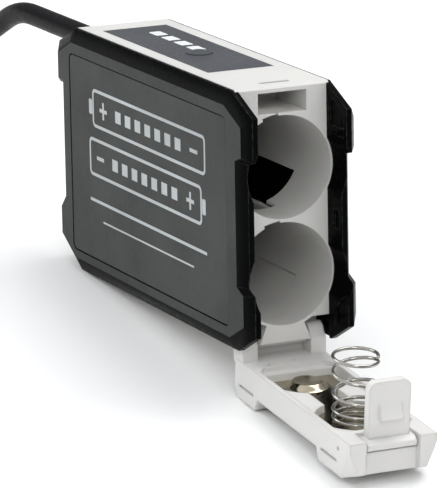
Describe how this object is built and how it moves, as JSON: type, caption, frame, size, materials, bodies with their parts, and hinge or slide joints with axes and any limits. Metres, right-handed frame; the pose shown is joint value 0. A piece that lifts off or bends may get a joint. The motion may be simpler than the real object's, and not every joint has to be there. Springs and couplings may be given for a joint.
{
  "type": "headset battery case",
  "caption": "Flat power case that holds cylindrical cells side by side behind a hinged, sprung end door, with a charge gauge and a cord ending in a barrel plug.",
  "frame": {"origin": "centre of the lower cell bore's mouth, in the plane of the core's end face", "axes": "+X out of the cell bores towards the door end, +Y across the thickness towards the far side cover, +Z from the lower cell to the upper cell"},
  "size_m": [0.2624, 0.023, 0.0638],
  "materials": {
    "white_abs": "semi-gloss warm white moulded ABS",
    "black_abs": "satin black moulded ABS",
    "panel_black": "fine-textured satin charcoal label sheet with a light grey graphic",
    "membrane_grey": "satin blue-grey printed membrane",
    "lens_white": "translucent white light windows",
    "board_green": "green solder mask",
    "led_white": "small light-emitting chips",
    "switch_steel": "stamped steel switch can",
    "nickel": "nickel-plated spring steel",
    "spring_steel": "bright nickel-plated round wire",
    "pin_steel": "plain ground steel pin",
    "wire_red": "red silicone insulation",
    "wire_black": "black silicone insulation",
    "cord_black": "soft satin black cord jacket",
    "plug_black": "moulded black plug handle",
    "insulator": "yellow plug insulator"
  },
  "bodies": {
    "case": {"core_body": "white_abs", "side_cover_near": "black_abs", "side_cover_far": "black_abs", "label_panel_near": "panel_black", "label_panel_far": "panel_black", "gauge_label": "membrane_grey", "gauge_windows": "lens_white", "gauge_board": "board_green", "board_spacers": "white_abs", "gauge_leds": "led_white", "button_switch": "switch_steel", "rear_contact_upper": "nickel", "rear_contact_lower": "nickel", "rear_spring": "spring_steel", "lead_red": "wire_red", "lead_black": "wire_black", "strain_relief": "cord_black", "power_cord": "cord_black", "plug_body": "plug_black", "plug_barrel": "nickel", "plug_insulator": "insulator", "plug_contact": "nickel", "hinge_pin": "pin_steel"},
    "button": {"test_button": "membrane_grey"},
    "rear_coil_end": {"rear_spring_tip": "spring_steel"},
    "door": {"end_door": "white_abs", "door_contact_plate": "nickel", "door_spring": "spring_steel"},
    "door_coil_end": {"door_spring_tip": "spring_steel"},
    "latch": {"latch_tongue": "white_abs"}
  },
  "joints": [
    {"name": "door_hinge", "type": "hinge", "parent": "case", "child": "door", "pos_m": [-0.0032, 0, -0.01235], "axis": [0, 1, 0], "range_deg": [-96, 14]},
    {"name": "latch_flex", "type": "hinge", "parent": "door", "child": "latch", "pos_m": [0.04002, 0, -0.02157], "axis": [0, 1, 0], "range_deg": [-5, 0], "stiffness_Nm_per_rad": 0.006},
    {"name": "door_spring_press", "type": "slide", "parent": "door", "child": "door_coil_end", "axis": [-0.1045, 0, -0.9945], "range_m": [0, 0.0042], "stiffness_N_per_m": 70, "deforming": ["door_spring"]},
    {"name": "rear_spring_press", "type": "slide", "parent": "case", "child": "rear_coil_end", "axis": [-1, 0, 0], "range_m": [0, 0.0042], "stiffness_N_per_m": 70, "deforming": ["rear_spring"]},
    {"name": "button_press", "type": "slide", "parent": "case", "child": "button", "axis": [0, 0, -1], "range_m": [0, 0.0003], "stiffness_N_per_m": 20}
  ]
}
